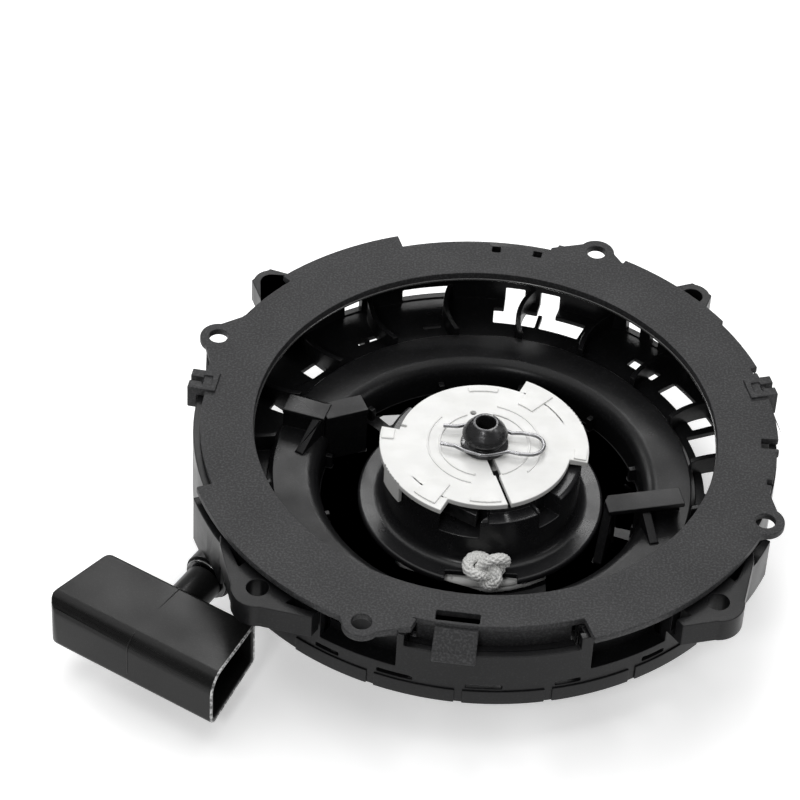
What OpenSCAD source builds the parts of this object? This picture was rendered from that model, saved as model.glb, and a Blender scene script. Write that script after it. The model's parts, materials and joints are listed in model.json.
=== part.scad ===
// Pull-cord recoil starter for a small vertical-shaft engine, seen from its engine side.
// The origin is on the crank axis, in the mounting face of the guide ring, and +Z points at the engine.
// Everything below the ring has a negative height. The starter lies on the floor of its reel well.

/* [Guide ring] */
// Inner radius of the guide ring, the air inlet of the fan
ring_inner_r = 77; // [74:1:82]
// Outer radius of the guide ring where it is full
ring_outer_r = 100; // [97:1:106]
// Radius of the ring where its edge is set back
ring_setback_r = 94.6; // [92:0.2:96]
// Thickness of the ring plate
ring_thickness = 2.6; // [2:0.1:4]
// Depth of the rolled lip at the inner edge
ring_lip_depth = 3.4; // [3:0.2:9]
// Wall of the lip and of the front skirt
ring_lip_wall = 1.7; // [1.2:0.1:2.5]
// Radius of the front skirt
skirt_r = 91; // [88:0.5:92]
// Depth of the front skirt
skirt_depth = 10; // [6:0.5:12]
// Radius of the ring's bolt circle
ring_bolt_r = 98.8; // [96:0.2:104]
// Diameter of the ring's bolt holes
ring_bolt_d = 6.5; // [4:0.1:8]
// Direction of the first ring bolt
ring_bolt_angle = 68; // [60:1:76]
// Radius of the ring's ears round their holes
ring_ear_r = 6.3; // [5.5:0.1:8]
// Width of the three snap clips
clip_w = 14; // [8:0.5:18]

/* [Housing] */
// Outer radius of the housing wall
wall_r = 97; // [95:0.5:104]
// Thickness of the moulded walls
wall_t = 2.6; // [2:0.1:3.4]
// Depth of the wall's lower edge below the mounting face
wall_depth = 29; // [27:0.5:34]
// Radius of the housing's bolt circle
lug_bolt_r = 103.5; // [101:0.5:110]
// Diameter of the housing's bolt holes
lug_bolt_d = 7.2; // [5:0.1:9]
// Direction of the first housing lug
lug_angle = 47; // [40:1:54]
// Radius of the lug bosses
lug_r = 8.6; // [7.5:0.1:10]
// Height of the lugs
lug_h = 9; // [6:0.5:14]
// Number of louvre blades in the air inlet
louvre_count = 20; // [12:1:24]
// Thickness of a louvre blade
louvre_t = 1.8; // [1.4:0.1:2.6]

/* [Pan and well] */
// Outer radius of the pan's shelf
shelf_r = 70.5; // [68:0.5:73]
// Depth of the shelf below the mounting face
shelf_depth = 23; // [20:0.5:26]
// Radius of the cup wall inside the shelf
cup_r = 54.5; // [52:0.5:57]
// Depth of the cup's floor
cup_depth = 35; // [33:0.5:37]
// Radial gap between the reel and its well
well_gap = 2; // [1:0.1:4]
// Depth of the inside of the well's floor
well_depth = 47; // [46.5:0.5:52]
// Thickness of the well's floor
floor_t = 3; // [2:0.1:5]
// Number of spokes and gussets
spoke_count = 12; // [6:1:16]
// Direction of the first spoke
spoke_angle = 46; // [0:1:60]
// Depth of the top of the two arms beside the reel
arm_depth = 15; // [13:0.5:20]

/* [Spindle] */
// Radius of the spindle that the reel turns on
spindle_r = 9; // [7:0.1:11]
// Radius of the hole down the spindle, for the pin's shank
shank_r = 5; // [4:0.1:5.6]
// Depth of the spindle's top
spindle_depth = 11.8; // [11.5:0.1:14]
// Radius of the spring root at the foot of the spindle
root_r = 11; // [9.5:0.1:12]
// Radius of the hole through the retainer pin
pin_bore_r = 3.3; // [2:0.1:3.6]
// Radius of the pin's head
pin_head_r = 8; // [7:0.1:10]
// Height of the pin's tip above the mounting face
pin_tip = 1.8; // [0:0.1:4]
// Running clearance of a turning fit, measured on the radius
run_gap = 0.08; // [0.04:0.01:0.1]

/* [Reel] */
// Outer radius of the reel's flanges
flange_r = 41.5; // [39:0.5:45]
// Radius of the ratchet hub
hub_r = 33; // [31:0.5:35]
// Depth of the hub's top
hub_depth = 11.7; // [11.5:0.1:13]
// Radius of the rope drum
drum_r = 27; // [26.5:0.5:30]
// Thickness of a flange
flange_t = 2.2; // [1.6:0.1:3]
// Depth of the upper flange's top
flange_depth = 32; // [31:0.5:33]
// Width of the notch for the rope's knot
knot_notch_w = 24; // [18:1:28]

/* [Rope] */
// Diameter of the starter rope
rope_d = 4; // [3.5:0.1:4.5]
// Layers of rope on the drum
rope_layers = 3; // [2:1:3]
// Turns of rope side by side in a layer
rope_columns = 2; // [1:1:2]

/* [Ratchet] */
// Radius of the ratchet guide between its lobes
guide_r = 29; // [27:0.5:31]
// Radius of the two lobes of the ratchet guide
lobe_r = 35; // [34.6:0.2:37]
// Thickness of the ratchet guide
guide_t = 2; // [1.6:0.1:2.2]
// Depth of the guide's top
guide_depth = 8.4; // [8.2:0.1:9]
// Radius at which a pawl pivots
pawl_pivot_r = 24; // [23:0.5:25]
// Length of a pawl from its pivot
pawl_len = 17; // [14:0.5:18]
// Swing of a pawl out of the hub
pawl_swing = 33; // [20:1:36]
// Radius of a pawl's pivot pin
pawl_pin_r = 2.2; // [1.8:0.1:2.6]
// Diameter of the friction spring's wire
hairpin_d = 1.3; // [1:0.1:1.6]
// Reach of the friction spring's loop from the axis
hairpin_reach = 20.5; // [17:0.5:25]

/* [Handle] */
// Direction in which the rope is pulled
pull_angle = 240; // [230:1:250]
// Distance of the pull line from the crank axis
pull_offset = 52.3; // [48:0.1:56]
// Depth of the pull line below the mounting face
pull_depth = 29; // [27:0.5:31]
// Length of the grip along its back
grip_back_w = 57.4; // [50:0.2:80]
// Length of the grip along its front
grip_front_w = 65; // [50:0.2:90]
// Depth of the grip from back to front
grip_depth = 30; // [24:0.5:36]
// Height of the grip at its back
grip_back_h = 17; // [15:0.5:22]
// Height of the grip at its front
grip_front_h = 20; // [16:0.5:26]
// Wall of the hollow grip
grip_wall = 1.6; // [1.2:0.1:2.4]
// Diameter of the neck
neck_d = 12.6; // [10:0.1:14]
// Length of the neck
neck_len = 13.5; // [10:0.5:20]

/* [Hidden] */
$fn = 96;
black = [0.09, 0.09, 0.1];
grey = [0.2, 0.2, 0.21];
white = [0.93, 0.93, 0.9];
steel = [0.7, 0.7, 0.72];
rope_white = [0.9, 0.9, 0.87];

// Heights of the reel's rope groove, between its two flanges
groove_gap = 0.2;
rope_fit = 0.05;
groove_w = rope_columns * rope_d + 2 * groove_gap;
groove_top = -flange_depth - flange_t;
groove_bottom = groove_top - groove_w;
reel_bottom = groove_bottom - flange_t;
groove_mid = (groove_top + groove_bottom) / 2;
coil_r = drum_r + 0.1 + rope_layers * (rope_d - 0.1) + 0.1 + 2 * rope_fit;
coil_top = groove_mid + rope_columns * rope_d / 2 + rope_fit;
well_r = max(flange_r, coil_r) + well_gap;
well_wall_r = well_r + wall_t;
base_z = -well_depth - floor_t;
well_hole_at = 32;
well_hole_r = 4.5;
drum_wall = 2;

// Spring chamber inside the drum
chamber_r = drum_r - drum_wall;
chamber_top = -flange_depth - 5.4;
case_t = 0.6;
spring_w = 6.6;
spring_t = 0.5;
spring_turns = 6;
spring_in = root_r + 0.6;
spring_out = chamber_r - case_t - 0.5;

// Pawls, their pockets, the hub's foot and the knot on the flange
pawl_rest = 97;
pawl_angles = [232, 52];
pocket_floor = -hub_depth - 8;
pawl_top = -guide_depth - guide_t - 1.5;
pawl_h = 5.4;
hub_fillet = 3.4;
knot_centre = [2, -max(flange_r - 2.6, hub_r + hub_fillet + 2), -flange_depth + 4.4];

// Ratchet guide: its lobes, its skirts and the hairpin spring that rubs on it
guide_bottom = -guide_depth - guide_t;
lobes = [[-10, 67], [170, 247]];
skirt_angles = [[200, 218], [20, 38]];
hairpin_z = -guide_depth + 3;
hairpin_loop_r = 5;
hairpin_leg = 6 + hairpin_d / 2 + 0.25;

// Where the arms, pockets and panels stand round the axis
front_panel = [-104, -70.5];
front_panel_depth = 7.5;
pockets = [[-122, -104.5], [-69, -51]];
pocket_r = 91;
pocket_depth = 17.5;
left_boss = [201, 214];
right_bulge = [-38, -22];
boss_r = 101;
bulge_r = 101.5;
bulge_bottom = -24;
bulge_roof = 10.4;
lug_bottom = -4 - lug_h;
inlet_floor_z = -wall_depth + 2;
louvre_top = -20.6;
louvre_angle = 8;
leg_t = 3;
// Windows closed all round, notches open at the foot and thin slits in the wall: first angle, last angle
wall_windows = [[97.5, 108.5], [55, 58.5], [50.2, 52.4], [41.2, 47.5], [118, 122],
    [140, 146], [152, 156], [8, 16]];
wall_notches = [[81.8, 86], [74.2, 78.4], [22, 28]];
wall_slits = [[-109, -102], [-92, -85], [-75, -70], [-57, -52], [222, 228], [238, 243]];
window_top = -21.5;
window_bottom = -26.4;
slit_top = -20.7;
slit_bottom = -22.3;
// Windows in the inlet floor: first angle, last angle, inner and outer radius
floor_windows = [[78, 88.3, 82, 90], [67, 77, 82, 90], [44, 52, 81, 85.6], [24, 40, 79, 87], [1, 22, 75.5, 88],
    [136.5, 141.5, 76, 81.5], [152.5, 157, 74, 80], [114, 124, 79.2, 81.4], [101.5, 106, 79.2, 80.6],
    [-34, -18, 76, 88], [-54, -40, 76, 88], [-88, -72, 76, 88], [-106, -92, 76, 88], [198, 212, 76, 88],
    [176, 190, 76, 86]];

// Where the edge of the ring is set back: first angle, last angle, radius
ring_edge = [[-23, -3, 96.5], [-3, 21, 97.4], [21, 36, 98.6], [62, 76, 97.4], [76, 90, 92.2], [90, 109, 93.4],
    [136, 172, 96.4], [172, 201, ring_setback_r], [245, 255, 97.4], [255, 291, skirt_r]];

boss_face = sqrt(boss_r * boss_r - pull_offset * pull_offset);
eyelet_flange = 1.4;
eyelet_r = 6;
eyelet_flange_r = 7.6;
eyelet_len = 8;
eyelet_boss_len = 12;
rope_way = 1.4;
skirt_span = [front_panel[0] + 1.4, front_panel[1] - 0.6];
skirt_gap = 0.6;
neck_start = boss_face + eyelet_flange + 0.4;
grip_start = neck_start + neck_len;

// The rope's way from the reel to the handle, in round numbers
rope_leave = [-40, 10, -40.4];
rope_rise = [-57, -10, -40.4];
rope_exit = polar_point(boss_face - eyelet_len - 1.2);
rope_end = polar_point(grip_start + grip_wall + 1.6);
function polar_point(s) = [
    s * cos(pull_angle) - pull_offset * cos(pull_angle + 90),
    s * sin(pull_angle) - pull_offset * sin(pull_angle + 90),
    -pull_depth];

function arc_points(c, r, a0, a1, n) =
    [for (i = [0:n]) c + r * [cos(a0 + (a1 - a0) * i / n), sin(a0 + (a1 - a0) * i / n)]];

// A block of a ring between two radii, two heights and two directions
module sector(r0, r1, z0, z1, a0, a1)
    rotate([0, 0, a0]) rotate_extrude(angle = a1 - a0) translate([r0, z0]) square([r1 - r0, z1 - z0]);

module tube(r0, r1, z0, z1)
    difference() {
        translate([0, 0, z0]) cylinder(r = r1, h = z1 - z0);
        translate([0, 0, z0 - 1]) cylinder(r = r0, h = z1 - z0 + 2);
    }

// A round bar between two points
module bar(p, q, r) {
    d = q - p;
    translate(p) rotate([0, acos(d[2] / norm(d)), atan2(d[1], d[0])]) cylinder(r = r, h = norm(d));
}

// A wire or rope of radius r swept along a path of points, with flat ends
module sweep(path, r, sides) {
    n = len(path);
    tangents = [for (i = [0:n - 1]) unit(path[min(i + 1, n - 1)] - path[max(i - 1, 0)])];
    rings = [for (i = [0:n - 1])
        let (side = unit(cross(tangents[i], [0, 0, 1])), up = cross(side, tangents[i]))
        for (k = [0:sides - 1]) path[i] + r * (cos(360 * k / sides) * side + sin(360 * k / sides) * up)];
    skin = [for (i = [0:n - 2], k = [0:sides - 1]) let (a = i * sides + k, b = i * sides + (k + 1) % sides)
        [a, b, b + sides, a + sides]];
    start = [for (k = [sides - 1:-1:0]) k];
    end = [for (k = [0:sides - 1]) (n - 1) * sides + k];
    polyhedron(rings, concat(skin, [start, end]));
}

function unit(v) = v / norm(v);

// The handle's own frame: X is the pull, Y the grip's length
module at_handle()
    translate([-pull_offset * cos(pull_angle + 90), -pull_offset * sin(pull_angle + 90), -pull_depth])
        rotate([0, 0, pull_angle]) children();

/* ---------- guide ring ---------- */

module ring_ear(a)
    rotate([0, 0, a]) {
        translate([ring_bolt_r, 0, -ring_thickness]) cylinder(r = ring_ear_r, h = ring_thickness);
        translate([0, 0, -ring_thickness]) linear_extrude(ring_thickness)
            polygon([[90, -15], [94, -15], [ring_bolt_r + 2, -ring_ear_r + 0.35],
                [ring_bolt_r + 2, ring_ear_r - 0.35], [94, 15], [90, 15]]);
    }

// Side clip: a saddle over the housing's rim
module side_clip(a)
    rotate([0, 0, a]) difference() {
        translate([91, -clip_w / 3, -8]) cube([9.5, clip_w / 1.5, 9]);
        translate([90, -clip_w, -9]) cube([wall_r - 90 + 0.3, 2 * clip_w, 9.3 - ring_thickness]);
        translate([96, -1, -10]) cube([6, 2, 12]);
        translate([93, -clip_w / 6, 0.3]) cube([3, clip_w / 3, 2]);
    }

// Front clip: a tab that runs over the front panel's rim and hooks under it
module front_clip()
    rotate([0, 0, -94.5]) translate([0, clip_w / 2, 0]) rotate([90, 0, 0]) linear_extrude(clip_w)
        polygon([[skirt_r - 1.2, -2], [skirt_r + 0.8, -1.4], [wall_r + 1.4, -5.2], [wall_r + 2.2, -9.4],
            [wall_r + 0.3, -10.4], [wall_r + 0.3, -7.4], [skirt_r - 1.2, -4.6]]);

// The plate and its rolled lip in one turned profile, with the edge cut back in steps
module ring_plate()
    difference() {
        rotate_extrude() polygon([[ring_inner_r, 0], [ring_inner_r, -ring_lip_depth],
            [ring_inner_r + ring_lip_wall, -ring_lip_depth], [ring_inner_r + ring_lip_wall, -ring_thickness],
            [ring_outer_r, -ring_thickness], [ring_outer_r, 0]]);
        for (e = ring_edge) sector(e[2], ring_outer_r + 5, -ring_thickness - 1, 1, e[0] - 0.15, e[1] + 0.15);
    }

module guide_ring()
    color(grey) difference() {
        union() {
            ring_plate();
            sector(skirt_r - ring_lip_wall - 0.6, skirt_r - 0.6, -skirt_depth, -ring_thickness / 2,
                skirt_span[0], skirt_span[1]);
            for (i = [0:3]) ring_ear(ring_bolt_angle + 90 * i);
            side_clip(171.7);
            side_clip(15.6);
            front_clip();
        }
        for (i = [0:3]) rotate([0, 0, ring_bolt_angle + 90 * i])
            translate([ring_bolt_r, 0, -30]) cylinder(d = ring_bolt_d, h = 40, $fn = 64);
        // small notches in the edge
        for (a = [79.6, 88.8]) rotate([0, 0, a]) translate([88.6, -1.5, -5]) cube([12, 3, 10]);
        rotate([0, 0, 21]) translate([96, -1.2, -5]) cube([8, 2.4, 10]);
        rotate([0, 0, -0.5]) translate([91.6, -2.2, -5]) cube([8, 4.4, 10]);
        rotate([0, 0, -11.5]) translate([94.6, -1.2, -5]) cube([8, 2.4, 10]);
        // window behind the front clip
        rotate([0, 0, -94.5]) translate([skirt_r - 5.4, -clip_w / 2, -20]) cube([4, clip_w, 30]);
    }

/* ---------- housing ---------- */

// The whole turned body in one profile: wall, inlet floor, shelf, brow, cup, reel well and spindle
module turned_body() {
    brow = 5;
    rotate_extrude() polygon(concat(
        [[0, base_z], [well_wall_r, base_z], [well_wall_r, -cup_depth - wall_t],
            [cup_r + wall_t, -cup_depth - wall_t], [cup_r + wall_t, -shelf_depth - brow],
            [cup_r + brow, -shelf_depth - wall_t], [shelf_r - 1, -shelf_depth - wall_t],
            [shelf_r - 1, -wall_depth], [wall_r, -wall_depth], [wall_r, -ring_thickness],
            [wall_r - wall_t, -ring_thickness], [wall_r - wall_t, inlet_floor_z], [shelf_r + 1.6, inlet_floor_z],
            [shelf_r + 1.6, -shelf_depth - 2.2], [shelf_r, -shelf_depth]],
        arc_points([cup_r + brow, -shelf_depth - brow], brow, 90, 180, 6),
        [[cup_r, -cup_depth], [well_r, -cup_depth], [well_r, -well_depth], [root_r, -well_depth],
            [root_r, chamber_top - 1], [spindle_r, chamber_top - 1], [spindle_r, -spindle_depth],
            [shank_r, -spindle_depth], [shank_r, -well_depth], [0, -well_depth]]));
}

// Windows of the wall, the inlet floor and the cup's floor
module body_cuts() {
    for (w = wall_windows) sector(wall_r - 6, wall_r + 1, window_bottom, window_top, w[0], w[1]);
    for (w = wall_notches) sector(wall_r - 8, wall_r + 1, -wall_depth - 1, window_top, w[0], w[1]);
    for (w = wall_slits) sector(wall_r - 6, wall_r + 1, slit_bottom, slit_top, w[0], w[1]);
    for (w = floor_windows) sector(w[2], w[3], -wall_depth - 1, inlet_floor_z + 1, w[0], w[1]);
    for (i = [0:spoke_count - 1])
        sector(well_wall_r + 0.8, cup_r - 0.6, -cup_depth - 5, -cup_depth + 1,
            spoke_angle + 360 * i / spoke_count + 3, spoke_angle + 360 * (i + 1) / spoke_count - 3);
}

// A lug: boss and web, with a strut that carries it down to the wall
module lug_body(a, r, span)
    rotate([0, 0, a]) {
        translate([lug_bolt_r, 0, lug_bottom]) cylinder(r = r, h = lug_h);
        translate([0, 0, lug_bottom]) linear_extrude(lug_h)
            polygon([[wall_r - wall_t / 2, -span], [wall_r - 0.4, -span], [wall_r + 2.5, 3 - span],
                [lug_bolt_r + 5.5, 2 - r], [lug_bolt_r + 5.5, r - 2], [wall_r + 2.5, span - 3],
                [wall_r - 0.4, span], [wall_r - wall_t / 2, span]]);
        translate([0, 0, -20]) linear_extrude(10)
            polygon([[wall_r - wall_t / 2, -11], [wall_r + 1.6, -9], [wall_r + 4, -4], [wall_r + 4, 4],
                [wall_r + 1.6, 9], [wall_r - wall_t / 2, 11]]);
    }

// Bolt hole of a lug, and the two pockets of a wide one
module lug_cuts(a, wide)
    rotate([0, 0, a]) {
        translate([lug_bolt_r, 0, -40]) cylinder(d = lug_bolt_d, h = 50, $fn = 64);
        if (wide) for (s = [-1, 1]) translate([0, 0, lug_bottom + 1.6]) linear_extrude(lug_h)
            polygon([[wall_r + 0.6, 11 * s], [wall_r + 4.5, 10.8 * s], [wall_r + 0.8, 19.5 * s]]);
    }

// Inner wall, ledge and cheeks of a pocket in the front wall, a little oversize before they are cut
module pocket_body(p) {
    inner = pocket_r - wall_t;
    sector(inner, pocket_r + 0.5, -pocket_depth - wall_t, -ring_thickness, p[0] - 1, p[1] + 1);
    sector(inner + 0.4, wall_r - 0.6, -pocket_depth - wall_t + 0.4, -pocket_depth + 0.5,
        p[0] - 1.3, p[1] + 1.3);
    for (a = p) rotate([0, 0, a]) translate([inner + 0.8, -0.9, -pocket_depth - 1])
        cube([wall_r - inner - 1.4, 1.8, pocket_depth + 0.6 - ring_thickness]);
}

// One curved louvre blade, standing on the inlet floor from the shelf's lip out to the wall
module louvre()
    intersection() {
        translate([shelf_r + 12, -24, 0]) difference() {
            translate([0, 0, inlet_floor_z - 1]) cylinder(r = 26 + louvre_t, h = louvre_top - inlet_floor_z + 1);
            translate([0, 0, inlet_floor_z - 2]) cylinder(r = 26, h = 20);
        }
        translate([0, 0, inlet_floor_z - 3]) linear_extrude(20)
            polygon([[shelf_r + 0.4, -8], [120, -14], [120, 16], [shelf_r + 0.4, 7]]);
        tube(shelf_r + 0.6, wall_r - 1, inlet_floor_z - 4, -8);
    }

// Left arm beside the reel: a kinked web with a flange along its top and a leg on the shelf
module left_arm() {
    arm_web([-68, 20.4], [-53.6, 16.4]);
    arm_web([-53.8, 16.6], [-40, 22.4]);
    leg([-55.5, 17.4], [-62, 5.4], -shelf_depth - 1);
}

// Right arm: a web with an arch through it, on two sloping legs
module right_arm() {
    difference() {
        arm_web([66, -10.2], [40.6, -16.4]);
        translate([48.2, -14.6, -arm_depth - 7]) rotate([0, 0, 13.7]) rotate([90, 0, 0]) {
            translate([0, 0, -4]) cylinder(r = 3.4, h = 8, $fn = 48);
            translate([-3.4, -cup_depth, -4]) cube([6.8, cup_depth, 8]);
        }
    }
    leg([43.2, -14.8], [39.6, -26.5], -cup_depth - 1);
    leg([53, -12.6], [57.6, -28], -shelf_depth - 1);
}

// An upright web from p to q, with a narrow flange on top
module arm_web(p, q) {
    d = q - p;
    translate([p[0], p[1], 0]) rotate([0, 0, atan2(d[1], d[0])]) {
        translate([0, -1.2, -cup_depth - 1]) cube([norm(d), 2.4, cup_depth + 1 - arm_depth]);
        translate([0, -2, -arm_depth - 1.8]) cube([norm(d), 8, 1.8]);
    }
}

// A sloping leg from the arm's top at p down to q
module leg(p, q, bottom) {
    d = q - p;
    translate([p[0], p[1], 0]) rotate([0, 0, atan2(d[1], d[0])]) rotate([90, 0, 0])
        translate([0, 0, -leg_t / 2]) linear_extrude(leg_t)
            polygon([[-0.6, -arm_depth - 0.8], [2.4, -arm_depth - 0.8], [norm(d), bottom + 1.6], [norm(d), bottom],
                [-0.6, bottom]]);
}

// A spoke: a small rib up the cup wall, and a bar under the cup's floor from the well out
module spoke() {
    translate([cup_r - 2.2, -1, -cup_depth - 1]) cube([3, 2, cup_depth - shelf_depth - 6]);
    rotate([90, 0, 0]) translate([0, 0, -1.2]) linear_extrude(2.4)
        polygon([[well_wall_r - 1, -cup_depth - 1.2], [well_wall_r - 1, base_z + 1.5],
            [cup_r + wall_t - 0.8, -cup_depth - 5], [cup_r + wall_t - 0.8, -cup_depth - 1.2]]);
}

// A gusset under the air inlet, from the cup's wall out to the wall
module gusset()
    rotate([90, 0, 0]) translate([0, 0, -1.1]) linear_extrude(2.2)
        polygon([[cup_r + wall_t - 1, -shelf_depth - 7], [cup_r + wall_t - 1, -cup_depth - 2.2],
            [cup_r + wall_t + 6, -cup_depth - 2.2], [wall_r - 1.2, -wall_depth - 0.8],
            [wall_r - 1.2, -wall_depth + 0.6], [shelf_r - 0.4, -wall_depth + 0.6],
            [shelf_r - 0.4, -shelf_depth - 1.2]]);

module housing()
    color(black) difference() {
        union() {
            difference() {
                union() {
                    turned_body();
                    for (p = pockets) pocket_body(p);
                    sector(wall_r - 1.5, bulge_r, bulge_bottom, -8, right_bulge[0], right_bulge[1]);
                    sector(wall_r - 1.5, boss_r, bulge_bottom, -5, left_boss[0], left_boss[1]);
                    for (i = [0:3]) lug_body(lug_angle + 90 * i, i < 2 ? lug_r - 2.2 : lug_r, i < 2 ? 12 : 25);
                }
                body_cuts();
                for (p = pockets) sector(pocket_r, 130, -pocket_depth, 1, p[0] + 0.9, p[1] - 0.9);
                sector(skirt_r - 3, 130, -front_panel_depth, 1, front_panel[0], front_panel[1]);
                sector(wall_r + 0.4, bulge_r - 2, -wall_depth - 1, -bulge_roof, right_bulge[0] + 1.4,
                    right_bulge[1] - 1.4);
                for (i = [0:3]) lug_cuts(lug_angle + 90 * i, i > 1);
            }
            // ledge that closes the gap behind the front panel's rim
            sector(skirt_r + skirt_gap, wall_r - 1, -front_panel_depth - 2.4, -front_panel_depth - 0.4,
                front_panel[0] + 0.4, front_panel[1] - 0.4);
            for (i = [0:louvre_count - 1]) rotate([0, 0, 360 * i / louvre_count + louvre_angle]) louvre();
            for (i = [0:spoke_count - 1]) rotate([0, 0, spoke_angle + 360 * i / spoke_count]) {
                spoke();
                rotate([0, 0, 180 / spoke_count]) gusset();
            }
            // round boss that holds the rope's eyelet
            at_handle() rotate([0, 90, 0]) translate([0, 0, boss_face - eyelet_boss_len])
                cylinder(r = eyelet_r + 2.4, h = eyelet_boss_len);
            intersection() {
                union() {
                    left_arm();
                    right_arm();
                }
                tube(well_r + 0.5, shelf_r + 0.8, -cup_depth - 2, 0);
            }
        }
        bar(rope_leave - (rope_rise - rope_leave) * 0.35, rope_rise, rope_d / 2 + rope_way);
        bar(rope_rise - unit(rope_exit - rope_rise), rope_exit + 2 * unit(rope_exit - rope_rise),
            rope_d / 2 + rope_way);
        at_handle() rotate([0, 90, 0]) {
            translate([0, 0, boss_face - eyelet_len]) cylinder(r = eyelet_r, h = 30);
            translate([0, 0, boss_face]) cylinder(r = eyelet_flange_r + 0.4, h = 22);
        }
        // slot that the inner end of the spring hooks in
        translate([spindle_r + 0.6, -0.6, -well_depth + 0.3]) cube([4, 1.2, 20]);
        // air holes in the well's floor
        for (i = [0:5]) rotate([0, 0, 60 * i]) translate([well_hole_at, 0, base_z - 1])
            cylinder(r = well_hole_r, h = floor_t + 2);
    }

/* ---------- small pieces of the housing ---------- */

module rope_eyelet()
    color(steel) at_handle() rotate([0, 90, 0]) difference() {
        union() {
            translate([0, 0, boss_face - eyelet_len]) cylinder(r = eyelet_r, h = eyelet_len + 0.05);
            translate([0, 0, boss_face]) cylinder(r = eyelet_flange_r, h = eyelet_flange);
        }
        translate([0, 0, boss_face - 10]) cylinder(r = rope_d / 2 + 0.5, h = 20);
    }

// The pin: shank, collar on the guide, neck for the hairpin and a domed head with the bore through it
module retainer_pin()
    color(black) rotate_extrude() polygon([[pin_bore_r, -26], [shank_r, -26], [shank_r, -guide_depth + 0.2],
        [pin_head_r, -guide_depth + 0.2], [pin_head_r, -guide_depth + 1], [pin_head_r - 1.2, -guide_depth + 1.9],
        [pin_head_r - 2, -guide_depth + 2.1], [pin_head_r - 2, -guide_depth + 3.9],
        [pin_head_r - 0.5, -guide_depth + 4.4], [pin_head_r - 0.4, -guide_depth + 5.2],
        [pin_head_r - 1.2, -guide_depth + 7], [pin_head_r - 2.5, -guide_depth + 8.7], [4.4, pin_tip - 0.2],
        [4, pin_tip], [pin_bore_r, pin_tip]]);

module thrust_washer()
    color(steel) tube(shank_r + 0.3, root_r, -spindle_depth + 0.2, -guide_depth - guide_t - 0.1);

function spiral(n, r0, r1, turns, off) =
    [for (i = [0:n]) let (a = 360 * turns * i / n, r = r0 + (r1 - r0) * i / n + off) r * [cos(a), sin(a)]];

module recoil_spring()
    color(steel) translate([0, 0, -well_depth + 0.8]) linear_extrude(spring_w) {
        steps = 24 * spring_turns;
        inner = spiral(steps, spring_in, spring_out, spring_turns, 0);
        outer = spiral(steps, spring_in, spring_out, spring_turns, spring_t);
        hook_r = spindle_r + 0.9;
        polygon(concat([[hook_r, -spring_t], [hook_r, 0]], inner, [for (i = [steps:-1:0]) outer[i]],
            [[spring_in + spring_t, -spring_t]]));
    }

module rope_run()
    color(rope_white) sweep([rope_leave, rope_rise, rope_exit, rope_end], rope_d / 2, 12);

/* ---------- reel ---------- */

// Room that a pawl needs from rest to full swing, round its pivot
module pawl_room() {
    cylinder(r = 5.2, h = 20);
    for (a = [pawl_rest, pawl_rest - pawl_swing])
        rotate([0, 0, a]) translate([0, -3.9, 0]) cube([pawl_len + 2.4, 7.8, 20]);
    rotate([0, 0, pawl_rest - pawl_swing]) rotate_extrude(angle = pawl_swing) square([pawl_len + 3, 20]);
}

module reel()
    color(black) difference() {
        union() {
            difference() {
                rotate_extrude() polygon(concat(
                    [[spindle_r + run_gap, chamber_top], [chamber_r, chamber_top], [chamber_r, reel_bottom],
                        [flange_r - 0.6, reel_bottom], [flange_r, reel_bottom + 0.6], [flange_r, groove_bottom],
                        [drum_r, groove_bottom], [drum_r, groove_top], [flange_r, groove_top],
                        [flange_r, -flange_depth - 0.6], [flange_r - 0.6, -flange_depth]],
                    arc_points([hub_r + hub_fillet, -flange_depth + hub_fillet], hub_fillet, 270, 180, 6),
                    [[hub_r, -hub_depth - 1], [hub_r - 1, -hub_depth], [spindle_r + run_gap, -hub_depth]]));
                // relief under the hub's top
                tube(spindle_r + 4, chamber_r - 1, chamber_top - 1, pocket_floor - 2.4);
                for (a = pawl_angles) rotate([0, 0, a]) translate([pawl_pivot_r, 0, pocket_floor]) pawl_room();
                // two more pockets in the hub's rim
                for (a = [306, 126]) sector(hub_r - 6.5, hub_r + 2, pocket_floor, 0, a, a + 16);
                // bevelled step between the pockets
                for (a = [274, 94]) sector(hub_r - 5, hub_r + 2, -hub_depth - 1.2, 0, a, a + 30);
            }
            for (a = pawl_angles) rotate([0, 0, a]) translate([pawl_pivot_r, 0, pocket_floor - 1])
                cylinder(r = pawl_pin_r, h = pawl_top + 0.3 - pocket_floor + 1, $fn = 48);
        }
        // notch in the upper flange, and the hole that the rope comes up through
        translate([1 - knot_notch_w / 2, -flange_r - 5, groove_top - 1]) cube([knot_notch_w, 10, flange_t + 2]);
    }

module spring_case()
    color(steel) difference() {
        translate([0, 0, reel_bottom + 0.2]) cylinder(r = chamber_r, h = chamber_top - reel_bottom - 0.2);
        translate([0, 0, reel_bottom - 1])
            cylinder(r = chamber_r - case_t, h = chamber_top - reel_bottom + 1 - case_t);
        translate([0, 0, -60]) cylinder(r = spindle_r + 4, h = 60);
    }

module rope_coil()
    color(rope_white) rotate_extrude() for (i = [0:rope_layers - 1], j = [0:rope_columns - 1])
        translate([drum_r + 0.1 + (rope_d / 2 + rope_fit) + i * (rope_d - 0.1),
            groove_mid + (j - (rope_columns - 1) / 2) * rope_d]) circle(r = rope_d / 2 + rope_fit, $fn = 32);

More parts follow.
